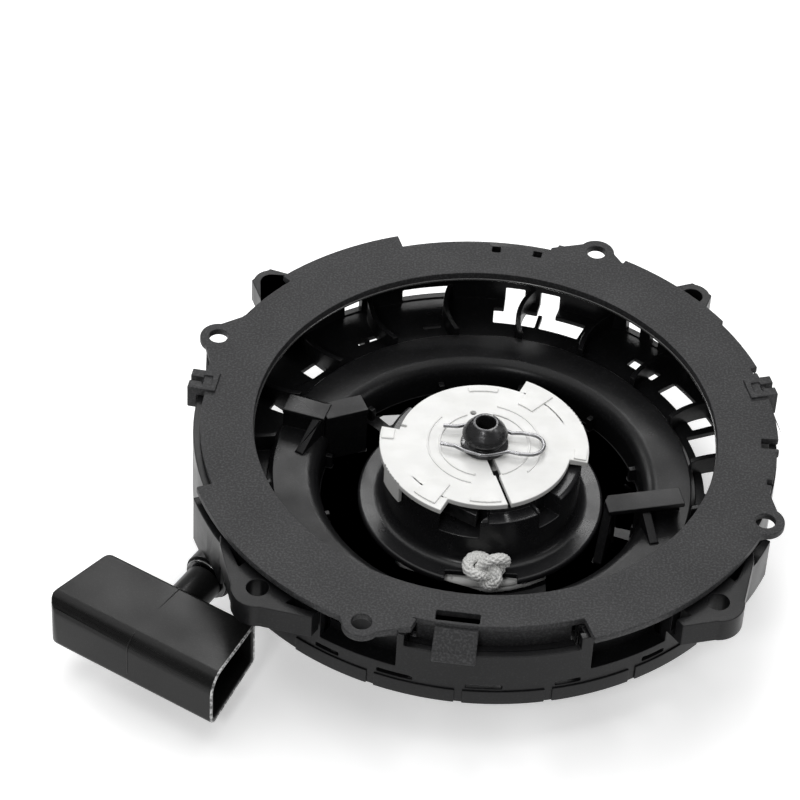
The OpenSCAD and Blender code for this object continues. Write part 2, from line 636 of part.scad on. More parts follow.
// The knot lies over the notch, and its tail comes up from the coil
module rope_knot()
    color(rope_white) translate([knot_centre[0], knot_centre[1], 0]) {
        translate([0, 0, knot_centre[2]]) rotate([0, 90, 0]) rotate_extrude()
            polygon([[0, -7.8], [2.4, -7.8], [3.7, -6.2], [4.1, -3.8], [3.5, -1.4], [4.2, 0.8], [4.2, 3.6],
                [3.6, 6.2], [2.2, 7.8], [0, 7.8]]);
        translate([0, 0, coil_top]) cylinder(r = rope_d / 2, h = knot_centre[2] - coil_top);
    }

module pawl_spring(a)
    color(steel) rotate([0, 0, a]) translate([pawl_pivot_r, 0, pocket_floor + 0.5]) {
        tube(pawl_pin_r + 0.3, pawl_pin_r + 1.1, 0, 1.2);
        rotate([0, 0, pawl_rest - 20]) translate([pawl_pin_r + 0.7, -0.4, 0.2]) cube([6.5, 0.8, 0.8]);
    }

module pawl_spring_a() pawl_spring(pawl_angles[0]);

module pawl_spring_b() pawl_spring(pawl_angles[1]);

// A pawl: pivot eye, arm and hooked tip
module pawl(a)
    color(steel) rotate([0, 0, a]) translate([pawl_pivot_r, 0, pawl_top - pawl_h]) rotate([0, 0, pawl_rest])
        difference() {
            union() {
                cylinder(r = 4.6, h = pawl_h);
                linear_extrude(pawl_h) polygon([[0, -4.5], [3, -3.5], [pawl_len - 5, -3.3], [pawl_len, -3.2],
                    [pawl_len - 1.6, 1.2], [pawl_len - 6, 1.6], [3.2, 3.4], [0, 4.5]]);
            }
            translate([0, 0, -1]) cylinder(r = pawl_pin_r + run_gap, h = pawl_h + 2, $fn = 48);
        }

module pawl_a() pawl(pawl_angles[0]);

module pawl_b() pawl(pawl_angles[1]);

/* ---------- ratchet guide ---------- */

module ratchet_guide()
    color(white) difference() {
        union() {
            translate([0, 0, guide_bottom]) cylinder(r = guide_r, h = guide_t);
            for (l = lobes) sector(guide_r - 2, lobe_r, guide_bottom, -guide_depth, l[0], l[1]);
            for (s = skirt_angles) sector(hub_r + 0.6, lobe_r, -hub_depth - 5, -guide_depth, s[0], s[1]);
            tube(shank_r + run_gap, pin_head_r + 3.4, guide_bottom, -guide_depth);
        }
        translate([0, 0, -30]) cylinder(r = shank_r + run_gap, h = 40);
        // two-step slit from the centre to the edge
        rotate([0, 0, -72]) translate([4, -1.2, -30]) cube([11, 2.4, 40]);
        rotate([0, 0, -72]) translate([14, -0.6, -30]) cube([20, 1.2, 40]);
        rotate([0, 0, 105]) translate([15.5, 0, -30]) cylinder(r = 1, h = 40, $fn = 32);
        rotate([0, 0, 166]) translate([27, -0.5, -30]) cube([9, 1, 40]);
    }

module friction_spring() {
    r = hairpin_d / 2;
    loop_x = hairpin_reach - hairpin_loop_r - r;
    leg = hairpin_leg + 0.2;
    half = [[-13, leg - 1.6, 0], [-9, leg - 0.6, 0], [-5, leg, 0], [0, leg, 0], [5, leg, 0],
        [loop_x - 3.5, hairpin_loop_r + 0.6, 0]];
    loop = [for (a = [90:-15:-90]) [loop_x + hairpin_loop_r * cos(a), hairpin_loop_r * sin(a), 0]];
    other = [for (i = [len(half) - 1:-1:0]) [half[i][0], -half[i][1], 0]];
    color(steel) translate([0, 0, hairpin_z]) sweep(concat(half, loop, other), r, 12);
}

/* ---------- handle ---------- */

// Section of the grip across its length: X is front to back, Y is height
module grip_section(inset) {
    b = grip_back_h / 2 - inset;
    f = grip_front_h / 2 - inset;
    x0 = grip_start + inset;
    x1 = grip_start + grip_depth - inset;
    big = 6 - inset / 2;
    small = 2.4 - inset / 2;
    polygon(concat(
        [[x0, b - 0.8], [x0, -b + 0.8], [x0 + 0.8, -b]],
        arc_points([x1 - small, -f + small], small, -90, 0, 3),
        arc_points([x1 - big, f - big], big, 0, 90, 6),
        [[x0 + 0.8, b]]));
}

// Plan of the grip: X is the pull, Y is its length; the far end stays open
module grip_plan(inset, open) {
    b = grip_back_w / 2 - inset;
    f = grip_front_w / 2 - inset;
    x0 = grip_start + inset;
    x1 = grip_start + grip_depth - inset;
    r = 5;
    polygon(concat(
        arc_points([x0 + 3, -b + 3], 3, 180, 262, 3),
        arc_points([x1 - r, -f + r + 0.4], r, 278, 360, 5),
        [[x1, f + open], [x0, b + open]]));
}

module handle_grip()
    color(black) at_handle() difference() {
        union() {
            intersection() {
                translate([0, grip_front_w, 0]) rotate([90, 0, 0])
                    linear_extrude(2 * grip_front_w) grip_section(0);
                translate([0, 0, -grip_front_h]) linear_extrude(2 * grip_front_h) grip_plan(0, 0);
            }
            translate([neck_start, 0, 0]) rotate([0, 90, 0]) cylinder(d = neck_d, h = neck_len + 1);
        }
        intersection() {
            translate([0, grip_front_w, 0]) rotate([90, 0, 0]) linear_extrude(2 * grip_front_w)
                grip_section(grip_wall);
            translate([0, 0, -grip_front_h]) linear_extrude(2 * grip_front_h) grip_plan(grip_wall, 10);
        }
        translate([neck_start - 1, 0, 0]) rotate([0, 90, 0]) cylinder(r = rope_d / 2 + 0.5, h = neck_len + 6);
    }

module grip_insert()
    color(steel) at_handle() translate([grip_start + grip_wall, 0, 0]) rotate([0, 90, 0]) difference() {
        cylinder(r = 5.6, h = 1.4);
        translate([0, 0, -1]) cylinder(r = rope_d / 2 + 0.5, h = 4);
    }

module handle_knot()
    color(rope_white) at_handle() translate([grip_start + grip_wall + 1.4 + 4.4, 0, 0]) {
        sphere(r = 4.1, $fn = 32);
        for (s = [-1, 1]) translate([0.6, 3.6 * s, 0.5 * s]) sphere(r = 3.2, $fn = 32);
    }

housing();
guide_ring();
rope_eyelet();
retainer_pin();
thrust_washer();
recoil_spring();
rope_run();
reel();
spring_case();
rope_coil();
rope_knot();
pawl_spring_a();
pawl_spring_b();
ratchet_guide();
friction_spring();
pawl_a();
pawl_b();
handle_grip();
grip_insert();
handle_knot();
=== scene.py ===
"""Looks of a pull-cord recoil starter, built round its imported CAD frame.

Every mesh is in metres in the frame's own axes: the origin is on the crank axis in the mounting
face, and +Z points at the engine. Moulded pieces are merged copies of the CAD meshes with rounded
edges. Ropes, wires, seams and repeated marks are made by Geometry Nodes.
"""

import json
import logging
import math
from dataclasses import dataclass, field
from enum import Enum
from typing import Any, Callable, Iterable, Sequence

import bmesh
import bpy
from mathutils import Matrix, Vector


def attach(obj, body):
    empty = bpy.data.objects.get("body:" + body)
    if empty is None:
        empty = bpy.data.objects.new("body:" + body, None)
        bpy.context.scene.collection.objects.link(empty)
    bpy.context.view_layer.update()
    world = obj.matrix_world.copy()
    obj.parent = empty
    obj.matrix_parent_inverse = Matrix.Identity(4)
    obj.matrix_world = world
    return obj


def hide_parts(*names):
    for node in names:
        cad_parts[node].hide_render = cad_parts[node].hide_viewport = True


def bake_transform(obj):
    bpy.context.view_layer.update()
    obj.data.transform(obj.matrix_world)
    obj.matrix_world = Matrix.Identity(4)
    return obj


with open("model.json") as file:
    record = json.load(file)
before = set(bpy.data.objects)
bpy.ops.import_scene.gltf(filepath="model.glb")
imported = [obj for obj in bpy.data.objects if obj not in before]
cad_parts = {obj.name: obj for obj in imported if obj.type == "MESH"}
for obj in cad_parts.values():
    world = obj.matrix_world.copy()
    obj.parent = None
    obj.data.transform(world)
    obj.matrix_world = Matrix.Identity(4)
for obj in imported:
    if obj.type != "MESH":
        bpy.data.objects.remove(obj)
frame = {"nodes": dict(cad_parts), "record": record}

LOG = logging.getLogger("recoil_starter")
MM = 0.001
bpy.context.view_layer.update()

Point = tuple[float, float, float]
Colour = tuple[float, float, float]
Span = tuple[float, float]

WHOLE: Span = (0.0, 1.0)
NOISE_MIDDLE: Span = (0.3, 0.7)


class Slot(Enum):
    """Material slots of the record."""

    HOUSING = "housing_plastic"
    RING = "ring_plastic"
    REEL = "reel_plastic"
    GRIP = "grip_plastic"
    GUIDE = "guide_nylon"
    ROPE = "rope_braid"
    WIRE = "spring_wire"
    STRIP = "spring_steel"
    PLATED = "plated_steel"
    EYELET = "eyelet_steel"
    PAWL = "pawl_steel"


# ---------------------------------------------------------------- node graphs


class Graph:
    """A small builder for a shader or geometry node tree."""

    def __init__(self, tree: bpy.types.NodeTree) -> None:
        """Keep the tree that nodes are added to."""
        self.tree = tree

    def add(self, kind: str, values: dict[str, Any] | None = None, **settings: Any) -> bpy.types.Node:
        """Add a node.

        Args:
            kind: the node's type name.
            values: default values of its input sockets, by name.
            settings: properties of the node itself.

        Returns:
            The new node.
        """
        node = self.tree.nodes.new(kind)
        for name, value in settings.items():
            setattr(node, name, value)
        for name, value in (values or {}).items():
            node.inputs[name].default_value = value
        return node

    def join(self, source: bpy.types.NodeSocket, target: bpy.types.NodeSocket) -> None:
        """Link one socket to another."""
        self.tree.links.new(source, target)

    def math(self, operation: str, first: Any, second: Any = None) -> bpy.types.NodeSocket:
        """Add a Math node whose inputs are sockets or plain numbers.

        Args:
            operation: the node's operation.
            first: first input.
            second: second input, if the operation has one.

        Returns:
            The node's output socket.
        """
        node = self.add("ShaderNodeMath", operation=operation)
        for socket, value in zip(node.inputs, (first, second)):
            if isinstance(value, bpy.types.NodeSocket):
                self.join(value, socket)
            elif value is not None:
                socket.default_value = value
        return node.outputs[0]

    def scaled(self, vector: bpy.types.NodeSocket, factor: bpy.types.NodeSocket) -> bpy.types.NodeSocket:
        """Return a vector socket scaled by a number socket."""
        node = self.add("ShaderNodeVectorMath", operation="SCALE")
        self.join(vector, node.inputs[0])
        self.join(factor, node.inputs["Scale"])
        return node.outputs[0]

    def vector(self, operation: str, first: Any, second: Any) -> bpy.types.NodeSocket:
        """Return the output of a Vector Math node on two sockets."""
        node = self.add("ShaderNodeVectorMath", operation=operation)
        self.join(first, node.inputs[0])
        self.join(second, node.inputs[1])
        return node.outputs[0]


# ---------------------------------------------------------------- finishes


@dataclass(frozen=True)
class Finish:
    """What every finish shares: a name, a base colour and the Principled shader's own settings."""

    name: str
    base: Colour
    roughness: float

    def shader(self) -> tuple[bpy.types.Material, Graph, bpy.types.Node, bpy.types.NodeSocket]:
        """Make an empty material.

        Returns:
            The material, its graph, its Principled node and its Object coordinates.
        """
        material = bpy.data.materials.new(self.name)
        material.use_nodes = True
        graph = Graph(material.node_tree)
        principled = material.node_tree.nodes["Principled BSDF"]
        principled.inputs["Base Color"].default_value = (*self.base, 1.0)
        principled.inputs["Roughness"].default_value = self.roughness
        coordinates = graph.add("ShaderNodeTexCoord")
        return material, graph, principled, coordinates.outputs["Object"]

    @staticmethod
    def noise(graph: Graph, place: bpy.types.NodeSocket, scale: float,
              detail: float = 2.0) -> bpy.types.NodeSocket:
        """Add a noise texture.

        Args:
            graph: the material's graph.
            place: the coordinates that it reads.
            scale: how many waves there are to a metre.
            detail: how many finer layers it has.

        Returns:
            The texture's Fac socket.
        """
        node = graph.add("ShaderNodeTexNoise", {"Scale": scale, "Detail": detail})
        graph.join(place, node.inputs["Vector"])
        return node.outputs["Fac"]

    @staticmethod
    def spread(graph: Graph, value: bpy.types.NodeSocket, source: Span,
               target: Span) -> bpy.types.NodeSocket:
        """Map a value from one range to another, clamped.

        Args:
            graph: the material's graph.
            value: the value's socket.
            source: the range that it comes in.
            target: the range that it leaves in.

        Returns:
            The mapped value's socket.
        """
        node = graph.add("ShaderNodeMapRange", {"From Min": source[0], "From Max": source[1],
                                                "To Min": target[0], "To Max": target[1]})
        graph.join(value, node.inputs["Value"])
        return node.outputs["Result"]

    @staticmethod
    def tint(graph: Graph, factor: bpy.types.NodeSocket, low: Colour, high: Colour,
             target: bpy.types.NodeSocket) -> None:
        """Mix two colours by a factor into a colour socket.

        Args:
            graph: the material's graph.
            factor: the factor's socket.
            low: the colour at 0.
            high: the colour at 1.
            target: the socket that takes the mix.
        """
        node = graph.add("ShaderNodeMix", data_type="RGBA")
        colours = [s for s in node.inputs if s.type == "RGBA"]
        colours[0].default_value = (*low, 1.0)
        colours[1].default_value = (*high, 1.0)
        graph.join(factor, node.inputs["Factor"])
        graph.join([s for s in node.outputs if s.type == "RGBA"][0], target)

    @staticmethod
    def bump(graph: Graph, height: bpy.types.NodeSocket, distance: float,
             principled: bpy.types.Node) -> None:
        """Drive the shader's normal by a height.

        Args:
            graph: the material's graph.
            height: the height's socket, in shares of the distance.
            distance: the height in metres that 1 stands for.
            principled: the material's shader.
        """
        node = graph.add("ShaderNodeBump", {"Strength": 1.0, "Distance": distance})
        graph.join(height, node.inputs["Height"])
        graph.join(node.outputs["Normal"], principled.inputs["Normal"])


@dataclass(frozen=True)
class Moulded(Finish):
    """Moulded plastic: a fine grain, cloudy gloss, rub marks and pale specks."""

    speck: Colour = (0.05, 0.05, 0.052)
    speck_scale: float = 1500.0
    speck_share: Span = (0.52, 0.75)
    gloss_spread: float = 0.08
    grain: float = 0.00002
    shine: float = 0.2
    grain_scale: float = 2600.0
    cloud_scale: float = 55.0
    wave_scale: float = 140.0
    wave_share: float = 1.6

    def build(self) -> bpy.types.Material:
        """Make the material."""
        material, graph, principled, place = self.shader()
        fine = self.noise(graph, place, self.speck_scale, 3.0)
        self.tint(graph, self.spread(graph, fine, self.speck_share, WHOLE), self.base, self.speck,
                  principled.inputs["Base Color"])
        cloudy = self.noise(graph, place, self.cloud_scale, 4.0)
        gloss = (self.roughness - self.gloss_spread, self.roughness + self.gloss_spread)
        graph.join(self.spread(graph, cloudy, NOISE_MIDDLE, gloss), principled.inputs["Roughness"])
        grain = self.noise(graph, place, self.grain_scale, 2.0)
        waves = self.noise(graph, place, self.wave_scale, 1.0)
        height = graph.math("ADD", grain, graph.math("MULTIPLY", waves, self.wave_share))
        self.bump(graph, height, self.grain, principled)
        principled.inputs["Specular IOR Level"].default_value = self.shine
        return material


@dataclass(frozen=True)
class Nylon(Finish):
    """Natural white nylon: soft light inside, faint flow lines and a satin face."""

    shade: Colour = (0.75, 0.75, 0.73)
    shade_share: Span = (0.42, 0.72)
    flow_stretch: Point = (1.0, 2.6, 1.0)
    flow_scale: float = 70.0
    cloud_scale: float = 160.0
    gloss_reach: Span = (-0.06, 0.08)
    grain: float = 0.00001
    grain_scale: float = 1900.0
    glow: float = 0.12
    glow_depth: Point = (0.002, 0.002, 0.0018)

    def build(self) -> bpy.types.Material:
        """Make the material."""
        material, graph, principled, place = self.shader()
        stretch = graph.add("ShaderNodeMapping", {"Scale": self.flow_stretch})
        graph.join(place, stretch.inputs["Vector"])
        flow = self.noise(graph, stretch.outputs["Vector"], self.flow_scale, 5.0)
        self.tint(graph, self.spread(graph, flow, self.shade_share, WHOLE), self.base, self.shade,
                  principled.inputs["Base Color"])
        cloudy = self.noise(graph, place, self.cloud_scale, 3.0)
        gloss = (self.roughness + self.gloss_reach[0], self.roughness + self.gloss_reach[1])
        graph.join(self.spread(graph, cloudy, NOISE_MIDDLE, gloss), principled.inputs["Roughness"])
        self.bump(graph, self.noise(graph, place, self.grain_scale, 2.0), self.grain, principled)
        principled.inputs["Subsurface Weight"].default_value = self.glow
        principled.inputs["Subsurface Radius"].default_value = self.glow_depth
        return material


@dataclass(frozen=True)
class Steel(Finish):
    """Steel: drawn or ground lines along one axis, with stains and small pits."""

    metallic: float = 1.0
    stain: Colour = (0.3, 0.3, 0.31)
    stain_share: Span = (0.5, 0.8)
    stain_scale: float = 240.0
    gloss_range: Span = (0.7, 1.3)
    lines: Point = (60.0, 900.0, 900.0)
    pits: float = 0.00001
    pit_scale: float = 1400.0

    def build(self) -> bpy.types.Material:
        """Make the material."""
        material, graph, principled, place = self.shader()
        principled.inputs["Metallic"].default_value = self.metallic
        stain = self.noise(graph, place, self.stain_scale, 4.0)
        self.tint(graph, self.spread(graph, stain, self.stain_share, WHOLE), self.base, self.stain,
                  principled.inputs["Base Color"])
        stretch = graph.add("ShaderNodeMapping", {"Scale": self.lines})
        graph.join(place, stretch.inputs["Vector"])
        drawn = self.noise(graph, stretch.outputs["Vector"], 1.0, 3.0)
        gloss = (self.roughness * self.gloss_range[0], self.roughness * self.gloss_range[1])
        graph.join(self.spread(graph, drawn, NOISE_MIDDLE, gloss), principled.inputs["Roughness"])
        height = graph.math("ADD", self.noise(graph, place, self.pit_scale, 2.0), drawn)
        self.bump(graph, height, self.pits, principled)
        return material


@dataclass(frozen=True)
class Braid(Finish):
    """Braided polyester: each strand's fibres, a few grey tracer flecks and a soft sheen."""

    fleck: Colour = (0.62, 0.62, 0.62)
    fleck_share: Span = (0.6, 0.74)
    fleck_scale: float = 420.0
    fibre: float = 0.00008
    fibre_scale: float = 5200.0
    sheen: float = 0.25
    sheen_spread: float = 0.5

    def build(self) -> bpy.types.Material:
        """Make the material."""
        material, graph, principled, place = self.shader()
        fleck = self.noise(graph, place, self.fleck_scale, 3.0)
        self.tint(graph, self.spread(graph, fleck, self.fleck_share, WHOLE), self.base, self.fleck,
                  principled.inputs["Base Color"])
        fibres = self.noise(graph, place, self.fibre_scale, 2.0)
        self.bump(graph, fibres, self.fibre, principled)
        principled.inputs["Sheen Weight"].default_value = self.sheen
        principled.inputs["Sheen Roughness"].default_value = self.sheen_spread
        return material


@dataclass
class Finishes:
    """The object's finishes, each built once."""

    housing: Moulded = Moulded("housing_black", (0.006, 0.006, 0.0065), 0.34, speck=(0.015, 0.015, 0.016),
                               shine=0.2)
    ring: Moulded = Moulded("ring_grey", (0.028, 0.028, 0.029), 0.52, speck=(0.06, 0.06, 0.062),
                            speck_scale=1350.0, speck_share=(0.45, 0.7), grain=0.00005, gloss_spread=0.05)
    ring_edge: Moulded = Moulded("ring_edge_gloss", (0.03, 0.03, 0.03), 0.24, speck=(0.05, 0.05, 0.05),
                                 shine=1.0)
    reel: Moulded = Moulded("reel_black", (0.012, 0.012, 0.013), 0.3, speck=(0.024, 0.024, 0.025),
                            shine=0.35)
    grip: Moulded = Moulded("grip_black", (0.006, 0.006, 0.006), 0.33, speck=(0.013, 0.013, 0.013),
                            gloss_spread=0.05, shine=0.2)
    guide: Nylon = Nylon("guide_white", (0.80, 0.80, 0.785), 0.4)
    rope: Braid = Braid("rope_white", (0.92, 0.92, 0.9), 0.7)
    wire: Steel = Steel("wire_bright", (0.34, 0.34, 0.35), 0.3, stain=(0.26, 0.26, 0.26),
                        lines=(300.0, 300.0, 60.0), pits=0.0000004)
    strip: Steel = Steel("strip_blued", (0.13, 0.14, 0.17), 0.3)
    plated: Steel = Steel("plated_zinc", (0.55, 0.55, 0.54), 0.34)
    eyelet: Steel = Steel("eyelet_blackened", (0.1, 0.1, 0.1), 0.22, stain=(0.3, 0.3, 0.3),
                          stain_share=(0.55, 0.75), pits=0.000004)
    # Painted highlight: the open rim wire's pale base colour and pale specks stand in for light caught on the
    # thin edges of the grip's open end.
    rim: Moulded = Moulded("grip_rim_painted_highlight", (0.1, 0.1, 0.1), 0.4, speck=(0.62, 0.62, 0.62), speck_scale=900.0,
                           speck_share=(0.4, 0.62), shine=0.5)
    pawl: Steel = Steel("pawl_sintered", (0.16, 0.16, 0.165), 0.42, stain=(0.06, 0.06, 0.06), pits=0.00003)
    pin: Steel = Steel("pin_oxide", (0.06, 0.06, 0.062), 0.3, metallic=0.75, stain=(0.2, 0.2, 0.2),
                       stain_share=(0.56, 0.72), pits=0.0001, pit_scale=800.0)
    made: dict[str, bpy.types.Material] = field(default_factory=dict)

    def of(self, name: str) -> bpy.types.Material:
        """Return the material of a finish by its field name, building it on first use."""
        if name not in self.made:
            self.made[name] = getattr(self, name).build()
        return self.made[name]


# ---------------------------------------------------------------- geometry node trees


def new_tree(name: str, inputs: Sequence[tuple[str, str]]) -> tuple[Graph, bpy.types.Node, bpy.types.Node]:
    """Start a geometry node tree.

    Args:
        name: the tree's name.
        inputs: name and socket type of each input after the geometry.

    Returns:
        The graph, its group input and its group output.
    """
    tree = bpy.data.node_groups.new(name, "GeometryNodeTree")
    tree.interface.new_socket("Geometry", in_out="INPUT", socket_type="NodeSocketGeometry")
    for label, kind in inputs:
        tree.interface.new_socket(label, in_out="INPUT", socket_type=kind)
    tree.interface.new_socket("Geometry", in_out="OUTPUT", socket_type="NodeSocketGeometry")
    graph = Graph(tree)
    return graph, graph.add("NodeGroupInput"), graph.add("NodeGroupOutput")


def close_tree(graph: Graph, geometry: bpy.types.NodeSocket, source: bpy.types.Node,
               output: bpy.types.Node) -> bpy.types.NodeTree:
    """End a tree in Realize Instances and Set Material.

    Args:
        graph: the tree's graph.
        geometry: the geometry to end with.
        source: the tree's group input.
        output: the tree's group output.

    Returns:
        The finished tree.
    """
    realize = graph.add("GeometryNodeRealizeInstances")
    paint = graph.add("GeometryNodeSetMaterial")
    graph.join(geometry, realize.inputs[0])
    graph.join(realize.outputs[0], paint.inputs["Geometry"])
    graph.join(source.outputs["Material"], paint.inputs["Material"])
    graph.join(paint.outputs[0], output.inputs[0])
    return graph.tree


def swept(graph: Graph, curve: bpy.types.NodeSocket, radius: bpy.types.NodeSocket,
          sides: int) -> bpy.types.NodeSocket:
    """Sweep a round bar with closed ends along a curve.

    Args:
        graph: the tree's graph.
        curve: the curve's socket.
        radius: the bar's radius socket.
        sides: how many sides the bar has.

    Returns:
        The bar's mesh socket.
    """
    profile = graph.add("GeometryNodeCurvePrimitiveCircle", {"Resolution": sides})
    graph.join(radius, profile.inputs["Radius"])
    mesh = graph.add("GeometryNodeCurveToMesh", {"Fill Caps": True})
    graph.join(curve, mesh.inputs["Curve"])
    graph.join(profile.outputs["Curve"], mesh.inputs["Profile Curve"])
    return mesh.outputs["Mesh"]


def wire_tree(sides: int = 14, bend_steps: int = 8) -> bpy.types.NodeTree:
    """Build the tree that bends a wire round a path's corners and sweeps it.

    Args:
        sides: how many sides the wire has.
        bend_steps: how many points each bend has.

    Returns:
        The node tree.
    """
    graph, source, output = new_tree("wire_along_path", [
        ("Wire radius", "NodeSocketFloat"), ("Bend radius", "NodeSocketFloat"),
        ("Step", "NodeSocketFloat"), ("Material", "NodeSocketMaterial")])
    bend = graph.add("GeometryNodeFilletCurve", {"Limit Radius": True, "Count": bend_steps}, mode="POLY")
    graph.join(source.outputs["Geometry"], bend.inputs["Curve"])
    graph.join(source.outputs["Bend radius"], bend.inputs["Radius"])
    even = graph.add("GeometryNodeResampleCurve", mode="LENGTH")
    graph.join(bend.outputs[0], even.inputs["Curve"])
    graph.join(source.outputs["Step"], even.inputs["Length"])
    mesh = swept(graph, even.outputs[0], source.outputs["Wire radius"], sides)
    smooth = graph.add("GeometryNodeSetShadeSmooth")
    graph.join(mesh, smooth.inputs[0])
    return close_tree(graph, smooth.outputs[0], source, output)


def braid_tree(strands: int = 12, wave: float = 0.085, reach_share: float = 0.68,
               strand_share: float = 0.26, core_share: float = 0.66) -> bpy.types.NodeTree:
    """Build the tree that plaits a rope along a path.

    Half of the strands wind each way, and each passes over one and under the next.

    Args:
        strands: how many strands the braid has, an even number.
        wave: how far a strand rises and dips, as a share of the rope's radius.
        reach_share: mean distance of a strand from the rope's middle, as a share of its radius.
        strand_share: a strand's radius, as a share of the rope's.
        core_share: the core's radius, as a share of the rope's.

    Returns:
        The node tree.
    """
    graph, source, output = new_tree("braided_rope", [
        ("Rope radius", "NodeSocketFloat"), ("Lay", "NodeSocketFloat"), ("Step", "NodeSocketFloat"),
        ("Material", "NodeSocketMaterial")])
    even = graph.add("GeometryNodeResampleCurve", mode="LENGTH")
    graph.join(source.outputs["Geometry"], even.inputs["Curve"])
    graph.join(source.outputs["Step"], even.inputs["Length"])
    copies = graph.add("GeometryNodeDuplicateElements", {"Amount": strands}, domain="SPLINE")
    graph.join(even.outputs[0], copies.inputs["Geometry"])
    index = copies.outputs["Duplicate Index"]
    way = graph.math("SUBTRACT", graph.math("MULTIPLY", graph.math("MODULO", index, 2.0), 2.0), 1.0)
    pair = graph.math("FLOOR", graph.math("DIVIDE", index, 2.0))
    start = graph.math("MULTIPLY", pair, 4.0 * math.pi / strands)
    length = graph.add("GeometryNodeSplineParameter").outputs["Length"]
    along = graph.math("DIVIDE", length, source.outputs["Lay"])
    turn = graph.math("MULTIPLY", graph.math("MULTIPLY", along, way), 2.0 * math.pi)
    angle = graph.math("ADD", start, turn)
    lift = graph.math("MULTIPLY", graph.math("COSINE", graph.math("MULTIPLY", along, strands * math.pi)), way)
    radius = source.outputs["Rope radius"]
    reach = graph.math("MULTIPLY", radius, graph.math("ADD", graph.math("MULTIPLY", lift, wave), reach_share))
    normal = graph.add("GeometryNodeInputNormal").outputs["Normal"]
    tangent = graph.add("GeometryNodeInputTangent").outputs["Tangent"]
    side = graph.vector("CROSS_PRODUCT", tangent, normal)
    offset = graph.vector("ADD",
                          graph.scaled(normal, graph.math("MULTIPLY", reach, graph.math("COSINE", angle))),
                          graph.scaled(side, graph.math("MULTIPLY", reach, graph.math("SINE", angle))))
    move = graph.add("GeometryNodeSetPosition")
    graph.join(copies.outputs["Geometry"], move.inputs["Geometry"])
    graph.join(offset, move.inputs["Offset"])
    plait = swept(graph, move.outputs[0], graph.math("MULTIPLY", radius, strand_share), 6)
    core = swept(graph, even.outputs[0], graph.math("MULTIPLY", radius, core_share), 8)
    both = graph.add("GeometryNodeJoinGeometry")
    graph.join(plait, both.inputs[0])
    graph.join(core, both.inputs[0])
    smooth = graph.add("GeometryNodeSetShadeSmooth")
    graph.join(both.outputs[0], smooth.inputs[0])
    return close_tree(graph, smooth.outputs[0], source, output)


def ring_of_pieces_tree() -> bpy.types.NodeTree:
    """Build the tree that stands copies of a mesh at even steps round the axis.

    Returns:
        The node tree.
    """
    graph, source, output = new_tree("ring_of_pieces", [
        ("Count", "NodeSocketInt"), ("First angle", "NodeSocketFloat"), ("Pitch", "NodeSocketFloat"),
        ("Material", "NodeSocketMaterial")])
    line = graph.add("GeometryNodeMeshLine")
    line.inputs["Offset"].default_value = (0.0, 0.0, 0.0)
    graph.join(source.outputs["Count"], line.inputs["Count"])
    index = graph.add("GeometryNodeInputIndex").outputs[0]
    stepped = graph.math("MULTIPLY", index, source.outputs["Pitch"])
    angle = graph.math("ADD", stepped, source.outputs["First angle"])
    turn = graph.add("ShaderNodeCombineXYZ")
    graph.join(angle, turn.inputs["Z"])
    place = graph.add("GeometryNodeInstanceOnPoints")
    graph.join(line.outputs["Mesh"], place.inputs["Points"])
    graph.join(source.outputs["Geometry"], place.inputs["Instance"])
    graph.join(turn.outputs[0], place.inputs["Rotation"])
    return close_tree(graph, place.outputs[0], source, output)


# ---------------------------------------------------------------- mesh helpers


def body_of(node: str) -> str:
    """Return the name of the body that a CAD node belongs to."""
    for body, members in frame["record"]["behaviour"]["bodies"].items():
        if node in members:
            return body
    raise KeyError(node)


def new_object(name: str, data: bpy.types.ID) -> bpy.types.Object:
    """Link a new object with the given data to the scene."""
    made = bpy.data.objects.new(name, data)
    bpy.context.scene.collection.objects.link(made)
    return made


def baked(source: bpy.types.Object, name: str) -> bpy.types.Object:
    """Turn an object with live modifiers into a plain mesh object.

    Args:
        source: the object, which is removed.
        name: the new object's name.

    Returns:
        The plain mesh object.
    """
    bpy.context.view_layer.update()
    evaluated = source.evaluated_get(bpy.context.evaluated_depsgraph_get())
    mesh = bpy.data.meshes.new_from_object(evaluated, depsgraph=bpy.context.evaluated_depsgraph_get())
    bpy.data.objects.remove(source)
    mesh.name = name
    return new_object(name, mesh)


def grown(source: bpy.types.Object, tree: bpy.types.NodeTree, name: str, **inputs: Any) -> bpy.types.Object:
    """Run a geometry node tree on an object and keep the result as a plain mesh.

    Args:
        source: the object with the path or the mesh that the tree starts from.
        tree: the node tree.
        name: the new object's name.
        inputs: the tree's inputs, with _ for a space and a capital first letter.

    Returns:
        The plain mesh object.
    """
    modifier = source.modifiers.new("grow", "NODES")
    modifier.node_group = tree
    sockets = {s.name.lower(): s.identifier for s in tree.interface.items_tree if s.in_out == "INPUT"}
    for label, value in inputs.items():
        modifier[sockets[label.replace("_", " ")]] = value
    return baked(source, name)


def path_object(points: Iterable[Sequence[float]], closed: bool = False) -> bpy.types.Object:
    """Return a poly curve object through the points, joined end to end if it is closed."""
    curve = bpy.data.curves.new("path", "CURVE")
    curve.dimensions = "3D"
    spline = curve.splines.new("POLY")
    listed = list(points)
    spline.points.add(len(listed) - 1)
    for place, point in zip(spline.points, listed):
        place.co = (*point, 1.0)
    spline.use_cyclic_u = closed
    return new_object("path", curve)


def mesh_object(name: str, build: Callable[[bmesh.types.BMesh], None]) -> bpy.types.Object:
    """Return a mesh object filled by a function, with merged doubles and outward faces."""
    mesh = bpy.data.meshes.new(name)
    work = bmesh.new()
    build(work)
    bmesh.ops.remove_doubles(work, verts=work.verts, dist=1e-7)
    bmesh.ops.recalc_face_normals(work, faces=work.faces)
    work.to_mesh(mesh)
    work.free()
    return new_object(name, mesh)


